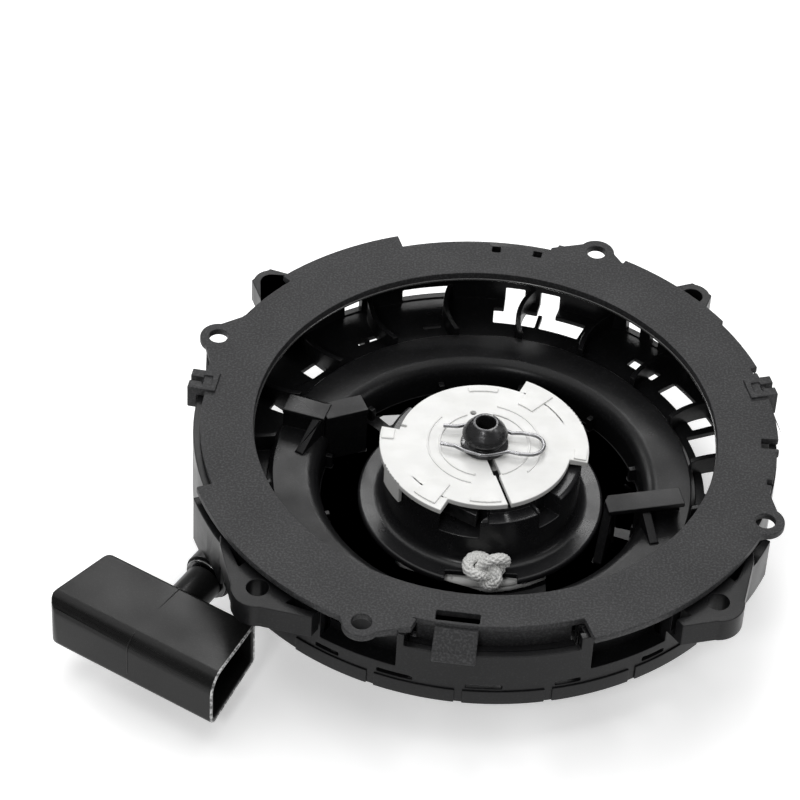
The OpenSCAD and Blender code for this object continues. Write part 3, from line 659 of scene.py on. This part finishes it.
def arc_block(work: bmesh.types.BMesh, radii: tuple[float, float], heights: tuple[float, float],
              angles: tuple[float, float], steps: int = 10) -> None:
    """Add a block of a ring to a bmesh.

    Args:
        work: the bmesh.
        radii: inner and outer radius.
        heights: lowest and highest Z.
        angles: first and last direction in degrees.
        steps: pieces round the arc.
    """
    rows = []
    for step in range(steps + 1):
        turn = math.radians(angles[0] + (angles[1] - angles[0]) * step / steps)
        way = Vector((math.cos(turn), math.sin(turn), 0.0))
        rows.append([work.verts.new(way * r + Vector((0.0, 0.0, z)))
                     for r, z in ((radii[0], heights[0]), (radii[1], heights[0]),
                                  (radii[1], heights[1]), (radii[0], heights[1]))])
    for one, two in zip(rows, rows[1:]):
        for k in range(4):
            work.faces.new((one[k], one[(k + 1) % 4], two[(k + 1) % 4], two[k]))
    work.faces.new(rows[0][::-1])
    work.faces.new(rows[-1])


def rounded(source: bpy.types.Object, width: float, segments: int = 2, angle: float = 32.0,
            crease: float = 38.0) -> bpy.types.Object:
    """Round an object's sharp edges and keep the result as a plain mesh under the same name.

    Args:
        source: the object, which is removed.
        width: width of the rounding.
        segments: facets across the rounding.
        angle: edges that turn by more than this many degrees are rounded.
        crease: edges that still turn by more than this many degrees are shaded sharp.

    Returns:
        The plain mesh object.
    """
    name = source.name
    source.name = name + "_raw"
    bevel = source.modifiers.new("edges", "BEVEL")
    bevel.width = width
    bevel.segments = segments
    bevel.limit_method = "ANGLE"
    bevel.angle_limit = math.radians(angle)
    bevel.use_clamp_overlap = False
    bevel.miter_outer = "MITER_ARC"
    made = baked(source, name)
    made.data.shade_smooth()
    made.data.set_sharp_from_angle(angle=math.radians(crease))
    weigh = made.modifiers.new("weigh", "WEIGHTED_NORMAL")
    weigh.keep_sharp = True
    made.name = name + "_raw"
    return baked(made, name)


def cad_copy(node: str, name: str, edge: float, segments: int = 2) -> bpy.types.Object:
    """Copy a CAD node's mesh, merge it and round its edges.

    Args:
        node: the CAD node.
        name: the new piece's name.
        edge: width of the rounding.
        segments: facets across the rounding.

    Returns:
        The new object.
    """
    mesh = frame["nodes"][node].data.copy()
    if "custom_normal" in mesh.attributes:
        mesh.attributes.remove(mesh.attributes["custom_normal"])
    work = bmesh.new()
    work.from_mesh(mesh)
    bmesh.ops.remove_doubles(work, verts=work.verts, dist=2e-6)
    bmesh.ops.dissolve_limit(work, angle_limit=math.radians(0.8), verts=work.verts, edges=work.edges)
    work.to_mesh(mesh)
    work.free()
    mesh.name = name
    return rounded(new_object(name, mesh), edge, segments)


def placed(piece: bpy.types.Object, body: str, material: bpy.types.Material | None = None,
           replaces: Sequence[str] = ()) -> bpy.types.Object:
    """Finish a piece: its material, body and the CAD nodes that it stands for.

    Args:
        piece: the piece.
        body: the body it rides on.
        material: its material, where its tree hasn't set one.
        replaces: CAD nodes that it replaces.

    Returns:
        The piece.
    """
    if material is not None:
        piece.data.materials.clear()
        piece.data.materials.append(material)
    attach(piece, body)
    if replaces:
        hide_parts(*replaces)
    LOG.info("%s on %s, %d faces", piece.name, body, len(piece.data.polygons))
    return piece


def dress(node: str, material: bpy.types.Material) -> None:
    """Give a CAD node that stays in view its material."""
    shown = frame["nodes"][node]
    shown.data.materials.clear()
    shown.data.materials.append(material)
    LOG.info("%s keeps its CAD mesh", node)


# ---------------------------------------------------------------- sub-assemblies


@dataclass
class Housing:
    """The moulded housing with its wall pads and eyelet, and the spring and washer inside it."""

    finishes: Finishes
    edge: float = 0.35 * MM
    wall_radius: float = 97.0 * MM
    pad_root: float = 1.2 * MM
    pad_reach: float = 0.55 * MM
    pad_edge: float = 0.3 * MM
    pad_heights: Span = (-28.9 * MM, -23.2 * MM)
    pad_sweep: float = 15.6
    pad_pitch: float = 17.0
    pad_first: float = -126.5
    pad_count: int = 5

    def build(self) -> None:
        """Build and dress the housing's pieces."""
        body = cad_copy("housing", "housing_shell", self.edge)
        placed(body, "root", self.finishes.of("housing"), ["housing"])
        self.wall_pads()
        eyelet = cad_copy("rope_eyelet", "rope_eyelet_ring", 0.4 * MM, 3)
        placed(eyelet, "root", self.finishes.of("eyelet"), ["rope_eyelet"])
        dress("recoil_spring", self.finishes.of("strip"))
        dress("thrust_washer", self.finishes.of("plated"))

    def wall_pads(self) -> None:
        """Add the raised pads along the foot of the front wall, each with a gap to the next."""
        radii = (self.wall_radius - self.pad_root, self.wall_radius + self.pad_reach)

        def one(work: bmesh.types.BMesh) -> None:
            """Fill in one pad."""
            arc_block(work, radii, self.pad_heights, (0.0, self.pad_sweep))

        pads = grown(mesh_object("pad", one), ring_of_pieces_tree(), "wall_pads", count=self.pad_count,
                     first_angle=math.radians(self.pad_first), pitch=math.radians(self.pad_pitch),
                     material=self.finishes.of("housing"))
        placed(rounded(pads, self.pad_edge), "root", self.finishes.of("housing"))


@dataclass
class GuideRing:
    """The matt ring with its rolled inner edge."""

    finishes: Finishes
    edge: float = 0.4 * MM
    bead: float = 0.5 * MM
    bead_radius: float = 77.15 * MM
    bead_height: float = -3.0 * MM

    def build(self) -> None:
        """Build and dress the ring."""
        ring = cad_copy("guide_ring", "guide_ring_plate", self.edge)
        placed(ring, "root", self.finishes.of("ring"), ["guide_ring"])
        around = [(self.bead_radius * math.cos(a), self.bead_radius * math.sin(a), self.bead_height)
                  for a in (math.radians(3.0 * k) for k in range(120))]
        bead = grown(path_object(around, closed=True), wire_tree(), "ring_rolled_edge", wire_radius=self.bead,
                     bend_radius=0.2 * MM, step=2.0 * MM, material=self.finishes.of("ring_edge"))
        placed(bead, "root")


@dataclass
class Reel:
    """The rope reel with its spring case, its pawls and their springs."""

    finishes: Finishes
    edge: float = 0.4 * MM

    def build(self) -> None:
        """Build and dress the reel's pieces."""
        reel = cad_copy("reel", "rope_reel", self.edge, 3)
        placed(reel, "reel", self.finishes.of("reel"), ["reel"])
        dress("spring_case", self.finishes.of("plated"))
        for letter in "ab":
            pawl = cad_copy(f"pawl_{letter}", f"ratchet_pawl_{letter}", 0.3 * MM)
            placed(pawl, f"pawl_{letter}", self.finishes.of("pawl"), [f"pawl_{letter}"])
            dress(f"pawl_spring_{letter}", self.finishes.of("wire"))


@dataclass(frozen=True)
class Mark:
    """A raised mark on the guide's face, repeated at even steps round it.

    Lengths are in millimetres and angles in degrees, and start is where the first mark begins.
    """

    name: str
    radii: Span
    sweep: float
    start: float
    height: float = 0.42


@dataclass
class Ratchet:
    """The white ratchet guide, its hairpin spring and the pin that holds them."""

    finishes: Finishes
    face: float = -8.4 * MM
    wire: float = 0.65 * MM
    hairpin_height: float = -6.2 * MM
    hairpin_turn: float = -5.0
    neck_radius: float = 6.0 * MM
    loop_x: float = 15.0 * MM
    loop_radius: float = 4.9 * MM
    waist_x: float = 8.6 * MM
    waist_y: float = 4.5 * MM
    neck_gap: float = 0.9 * MM
    hairpin_bend: float = 1.6 * MM
    tail: tuple[Point, ...] = ((-14.4, 4.3, 0.0), (-9.6, 4.7, 0.0), (-6.4, 6.3, 0.0))
    mark_count: int = 2
    mark_root: float = 0.3 * MM
    mark_edge: float = 0.24 * MM
    marks: tuple[Mark, ...] = (
        Mark("guide_inner_rib", (14.6, 15.5), 146.0, -66.0),
        Mark("guide_outer_rib", (18.6, 19.3), 118.0, -40.0, 0.35),
        Mark("guide_lobe_pads", (23.0, 33.4), 15.0, 47.0, 0.5),
        Mark("guide_rim_bars", (25.6, 27.6), 22.0, 81.0, 0.45),
        Mark("guide_lobe_steps", (30.2, 34.4), 9.0, -9.0, 0.5))

    def build(self) -> None:
        """Build and dress the ratchet's pieces."""
        guide = cad_copy("ratchet_guide", "ratchet_guide_disc", 0.3 * MM, 3)
        placed(guide, "guide", self.finishes.of("guide"), ["ratchet_guide"])
        for mark in self.marks:
            self.relief(mark)
        pin = cad_copy("retainer_pin", "retainer_pin_head", 0.3 * MM, 3)
        placed(pin, "root", self.finishes.of("pin"), ["retainer_pin"])
        spring = grown(path_object(self.hairpin_path()), wire_tree(), "hairpin_spring", wire_radius=self.wire,
                       bend_radius=self.hairpin_bend, step=0.35 * MM, material=self.finishes.of("wire"))
        placed(spring, body_of("friction_spring"), None, ["friction_spring"])

    def hairpin_path(self) -> list[Point]:
        """Return the hairpin's path: two tails, two legs round the pin's neck and a round loop."""
        hug = self.neck_radius + self.wire + self.neck_gap
        waist = Vector((self.waist_x, self.waist_y, 0.0))
        half = [Vector(point) * MM for point in self.tail]
        half += [Vector((hug * math.cos(a), hug * math.sin(a), 0.0))
                 for a in map(math.radians, (112, 96, 80, 64))]
        half += [waist, waist + Vector((3.4 * MM, 0.5 * MM, 0.0))]
        loop = [Vector((self.loop_x + self.loop_radius * math.cos(a), self.loop_radius * math.sin(a), 0.0))
                for a in map(math.radians, range(85, -86, -17))]
        other = [Vector((point.x, -point.y, 0.0)) for point in reversed(half)]
        turn = Matrix.Rotation(math.radians(self.hairpin_turn), 3, "Z")
        lift = Vector((0.0, 0.0, self.hairpin_height))
        return [tuple(turn @ point + lift) for point in half + loop + other]

    def relief(self, mark: Mark) -> None:
        """Add one kind of raised mark round the guide's face."""
        radii = (mark.radii[0] * MM, mark.radii[1] * MM)
        heights = (self.face - self.mark_root, self.face + mark.height * MM)

        def one(work: bmesh.types.BMesh) -> None:
            """Fill in one mark."""
            arc_block(work, radii, heights, (0.0, mark.sweep), max(4, int(mark.sweep / 4)))

        piece = grown(mesh_object(mark.name, one), ring_of_pieces_tree(), mark.name, count=self.mark_count,
                      first_angle=math.radians(mark.start), pitch=math.radians(360.0 / self.mark_count),
                      material=self.finishes.of("guide"))
        placed(rounded(piece, self.mark_edge), "guide", self.finishes.of("guide"))


@dataclass
class Rope:
    """The starter rope: its knot on the reel, its coil, its run to the handle and its end knot."""

    finishes: Finishes
    radius: float = 2.0 * MM
    lay: float = 11.0 * MM
    step: float = 0.34 * MM
    knot_centre: Point = (2.8 * MM, -37.7 * MM, -29.0 * MM)
    knot_size: float = 1.9 * MM
    knot_width: float = 1.2
    knot_tilt: float = 66.0
    knot_turn: float = 8.0
    end_knot_size: float = 1.75 * MM
    end_knot_height: float = 2.0 * MM
    drum_radius: float = 27.1 * MM
    groove_height: float = -38.4 * MM
    layers: int = 3
    columns: int = 2
    pull_angle: float = 240.0
    pull_offset: float = 52.3 * MM
    pull_height: float = -29.0 * MM
    leave: Point = (-40.0, 10.0, -40.4)
    rise: Point = (-57.0, -10.0, -40.4)
    grip_start: float = 101.7 * MM
    exit_distance: float = 82.9 * MM

    def on_pull(self, distance: float) -> Vector:
        """Return the point at a distance along the pull line."""
        turn = math.radians(self.pull_angle)
        side = math.radians(self.pull_angle + 90.0)
        return Vector((distance * math.cos(turn) - self.pull_offset * math.cos(side),
                       distance * math.sin(turn) - self.pull_offset * math.sin(side), self.pull_height))

    def knot_path(self, centre: Vector, size: float, height: float, turn: Matrix,
                  width: float = 1.0) -> list[Vector]:
        """Return an overhand knot's path with a cut tail.

        Args:
            centre: middle of the knot.
            size: a third of its radius.
            height: how far its crossings stand apart.
            turn: rotation of the knot.
            width: how much wider the knot is than it is high.

        Returns:
            Points along the path.
        """
        points = []
        for k in range(73):
            t = math.radians(38.0 + 348.0 * k / 72.0)
            flat = Vector((size * (math.sin(t) + 2.0 * math.sin(2.0 * t)),
                           size * (math.cos(t) - 2.0 * math.cos(2.0 * t)), -height * math.sin(3.0 * t)))
            points.append(centre + turn @ Vector((flat.x * width, flat.y, flat.z)))
        return points

    def braided(self, points: Iterable[Sequence[float]], name: str) -> bpy.types.Object:
        """Return a braided rope along the points."""
        return grown(path_object(points), braid_tree(), name, rope_radius=self.radius, lay=self.lay,
                     step=self.step, material=self.finishes.of("rope"))

    def build(self) -> None:
        """Build and dress the rope's pieces."""
        self.reel_knot()
        self.coil()
        self.run()
        self.end_knot()

    def reel_knot(self) -> None:
        """Tie the knot that holds the rope in the reel's notch."""
        centre = Vector(self.knot_centre)
        tilt = Matrix.Rotation(math.radians(self.knot_tilt), 3, "X")
        turn = tilt @ Matrix.Rotation(math.radians(self.knot_turn), 3, "Z")
        path = self.knot_path(centre, self.knot_size, self.knot_size, turn, self.knot_width)
        down = Vector((centre.x + 1.0 * MM, centre.y + 0.6 * MM, self.groove_height + 4.0 * MM))
        path += [path[-1].lerp(down, 0.5) + Vector((0.0, -1.2 * MM, 0.0)), down]
        placed(self.braided(path, "reel_knot"), "reel", None, ["rope_knot"])

    def coil(self) -> None:
        """Wind the rope on the drum, layer on layer, as one spiral of plain rope."""
        points = []
        steps = 40
        pitch = 2.0 * self.radius - 0.05 * MM
        turns = self.layers * self.columns
        for k in range(turns * steps + 1):
            turn = k / steps
            layer = int(min(turn, turns - 0.01) // self.columns)
            across = (turn - layer * self.columns) / self.columns * (self.columns - 1)
            across = self.columns - 1 - across if layer % 2 else across
            reach = self.drum_radius + self.radius + layer * (2.0 * self.radius - 0.25 * MM)
            angle = 2.0 * math.pi * turn
            points.append((reach * math.cos(angle), reach * math.sin(angle),
                           self.groove_height + (across - (self.columns - 1) / 2.0) * pitch))
        coil = grown(path_object(points), wire_tree(), "rope_winding", wire_radius=self.radius - 0.05 * MM,
                     bend_radius=0.5 * MM, step=1.2 * MM, material=self.finishes.of("rope"))
        placed(coil, "reel", None, ["rope_coil"])

    def run(self) -> None:
        """Lay the rope from the reel through the eyelet into the handle."""
        leave, rise = Vector(self.leave) * MM, Vector(self.rise) * MM
        out, end = self.on_pull(self.exit_distance), self.on_pull(self.grip_start + 3.2 * MM)
        piece = self.braided([leave, rise, out, end], "rope_run_braid")
        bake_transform(piece)
        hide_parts("rope_run")
        LOG.info("%s stretches from root to handle, %d faces", piece.name, len(piece.data.polygons))

    def end_knot(self) -> None:
        """Tie the knot that holds the handle."""
        centre = self.on_pull(self.grip_start + 7.8 * MM)
        heading = Matrix.Rotation(math.radians(self.pull_angle), 3, "Z")
        turn = heading @ Matrix.Rotation(math.radians(90.0), 3, "Y")
        path = self.knot_path(centre, self.end_knot_size, self.end_knot_height, turn)
        placed(self.braided(path, "handle_end_knot"), "handle", None, ["handle_knot"])


@dataclass
class Handle:
    """The hollow moulded grip with its neck, its parting line and the plate that its knot sits on."""

    finishes: Finishes
    rope: Rope
    edge: float = 0.55 * MM
    seam: float = 0.3 * MM
    depth: float = 30.0 * MM
    back_height: float = 17.0 * MM
    front_height: float = 20.0 * MM
    back_end: float = 28.7 * MM
    front_end: float = 32.5 * MM
    big_round: float = 6.0 * MM
    small_round: float = 2.4 * MM
    rim_wire: float = 0.42 * MM
    rim_sink: float = 0.3 * MM

    def build(self) -> None:
        """Build and dress the handle's pieces."""
        grip = cad_copy("handle_grip", "handle_shell", self.edge, 3)
        placed(grip, "handle", self.finishes.of("grip"), ["handle_grip"])
        dress("grip_insert", self.finishes.of("plated"))
        seam = grown(path_object(self.seam_path()), wire_tree(), "handle_seam", wire_radius=self.seam,
                     bend_radius=5.0 * MM, step=0.8 * MM, material=self.finishes.of("grip"))
        placed(seam, "handle")
        # A pale wire round the open end, carrying painted highlight for the light on its thin edges.
        rim = grown(path_object(self.rim_path(), closed=True), wire_tree(), "handle_open_rim_painted_highlight",
                    wire_radius=self.rim_wire, bend_radius=0.2 * MM, step=0.7 * MM,
                    material=self.finishes.of("rim"))
        placed(rim, "handle")

    def rim_path(self) -> list[Vector]:
        """Return the outer edge of the grip's open end, a little inside its faces, for the pale wire that
        paints its edge highlight.
        """
        turn = math.radians(self.rope.pull_angle + 90.0)
        across = Vector((math.cos(turn), math.sin(turn), 0.0))
        sink = self.rim_sink
        back, front = 0.8 * MM + sink, self.depth - sink
        low, high = -self.front_height / 2.0 + sink, self.front_height / 2.0 - sink
        big, small = self.big_round, self.small_round
        section = [(sink, self.back_height / 2.0 - 1.0 * MM), (sink, -self.back_height / 2.0 + 1.0 * MM),
                   (back, -self.back_height / 2.0 + sink)]
        section += [(front - small + small * math.cos(a), low + small + small * math.sin(a))
                    for a in map(math.radians, range(-90, 1, 18))]
        section += [(front - big + big * math.cos(a), high - big + big * math.sin(a))
                    for a in map(math.radians, range(0, 91, 15))]
        section += [(back, self.back_height / 2.0 - sink)]
        points = []
        for reach, rise in section:
            end = self.back_end + (self.front_end - self.back_end) * reach / self.depth - 0.15 * MM
            point = self.rope.on_pull(self.rope.grip_start + reach) + across * end
            points.append(point + Vector((0.0, 0.0, rise)))
        return points

    def seam_path(self) -> list[Vector]:
        """Return the parting line's path round the grip's section, half in the surface."""
        sink = 0.14 * MM
        back, front = self.rope.grip_start + sink, self.rope.grip_start + self.depth - sink
        low_back, low_front = -self.back_height / 2.0 + sink, -self.front_height / 2.0 + sink
        section = [(back, 7.8 * MM), (back, low_back), (front, low_front), (front, -low_front),
                   (back + 0.4 * MM, -low_back)]
        return [self.rope.on_pull(x) + Vector((0.0, 0.0, z)) for x, z in section]


# ---------------------------------------------------------------- studio


@dataclass(frozen=True)
class Lamp:
    """A soft square lamp: its place and size in metres, and its power in watts."""

    name: str
    place: Point
    size: float
    power: float


@dataclass
class Studio:
    """Pale floor, soft lights and the camera."""

    floor_height: float = -50.2 * MM
    floor_size: float = 6.0
    floor_glow: float = 0.42
    sky_strength: float = 0.22
    lamps: tuple[Lamp, ...] = (
        Lamp("overhead", (-0.1, 0.25, 1.3), 1.6, 13.0),
        Lamp("back", (0.0, 1.15, 1.0), 0.45, 4.5),
        Lamp("front", (-0.35, -1.0, 0.9), 0.22, 3.0),
        Lamp("back_left", (-0.8, 0.8, 0.5), 0.3, 3.0),
        Lamp("right", (1.0, -0.1, 0.55), 0.3, 1.2))
    lamp_aim: Point = (-0.02, 0.0, -0.02)
    lens: float = 156.3
    sensor: float = 36.0
    elevation: float = 43.24
    roll: float = 3.23
    distance: float = 1.1596
    target: Point = (-0.0289, 0.0102, 0.0)

    def build(self) -> None:
        """Build the floor, the lights and the camera."""
        self.floor()
        self.world()
        for lamp in self.lamps:
            self.hang(lamp)
        self.camera()
        bpy.context.scene.view_settings.view_transform = "Standard"

    def floor(self) -> None:
        """Lay the pale floor."""
        mesh = bpy.data.meshes.new("floor")
        work = bmesh.new()
        bmesh.ops.create_grid(work, x_segments=1, y_segments=1, size=self.floor_size)
        work.to_mesh(mesh)
        work.free()
        floor = new_object("floor", mesh)
        floor.location.z = self.floor_height
        material, graph, principled, place = Finish("floor_pale", (0.93, 0.93, 0.93), 0.6).shader()
        Finish.tint(graph, Finish.noise(graph, place, 3.0), (0.92, 0.92, 0.92), (0.94, 0.94, 0.94),
                    principled.inputs["Base Color"])
        principled.inputs["Specular IOR Level"].default_value = 0.1
        principled.inputs["Emission Color"].default_value = (1.0, 1.0, 1.0, 1.0)
        principled.inputs["Emission Strength"].default_value = self.floor_glow
        floor.data.materials.append(material)

    def world(self) -> None:
        """Light the scene from an even white sky."""
        world = bpy.data.worlds.new("sky")
        bpy.context.scene.world = world
        world.use_nodes = True
        sky = world.node_tree.nodes["Background"]
        sky.inputs["Color"].default_value = (1.0, 1.0, 1.0, 1.0)
        sky.inputs["Strength"].default_value = self.sky_strength

    def hang(self, lamp: Lamp) -> None:
        """Hang a lamp and point it at the object."""
        light = bpy.data.lights.new(lamp.name, "AREA")
        light.size = lamp.size
        light.energy = lamp.power
        hung = new_object(lamp.name, light)
        hung.location = lamp.place
        aim = Vector(self.lamp_aim) - Vector(lamp.place)
        hung.rotation_euler = aim.to_track_quat("-Z", "Y").to_euler()

    def camera(self) -> None:
        """Set up the camera: level with the object's front, looking down at it, a little rolled."""
        data = bpy.data.cameras.new("camera")
        data.lens, data.sensor_width = self.lens, self.sensor
        data.clip_start, data.clip_end = 0.05, 20.0
        camera = new_object("camera", data)
        rise, roll = math.radians(self.elevation), math.radians(self.roll)
        back = Vector((0.0, -math.cos(rise), math.sin(rise)))
        level = Vector((1.0, 0.0, 0.0))
        upright = back.cross(level)
        right = math.cos(roll) * level + math.sin(roll) * upright
        up = -math.sin(roll) * level + math.cos(roll) * upright
        matrix = Matrix((right, up, back)).transposed().to_4x4()
        matrix.translation = Vector(self.target) + back * self.distance
        camera.matrix_world = matrix
        bpy.context.scene.camera = camera


def main() -> None:
    """Build the studio and every sub-assembly."""
    logging.basicConfig(level=logging.INFO, format="%(name)s: %(message)s")
    finishes = Finishes()
    rope = Rope(finishes)
    Studio().build()
    Housing(finishes).build()
    GuideRing(finishes).build()
    Reel(finishes).build()
    Ratchet(finishes).build()
    rope.build()
    Handle(finishes, rope).build()
    bpy.context.view_layer.update()


if __name__ == "__main__":
    main()
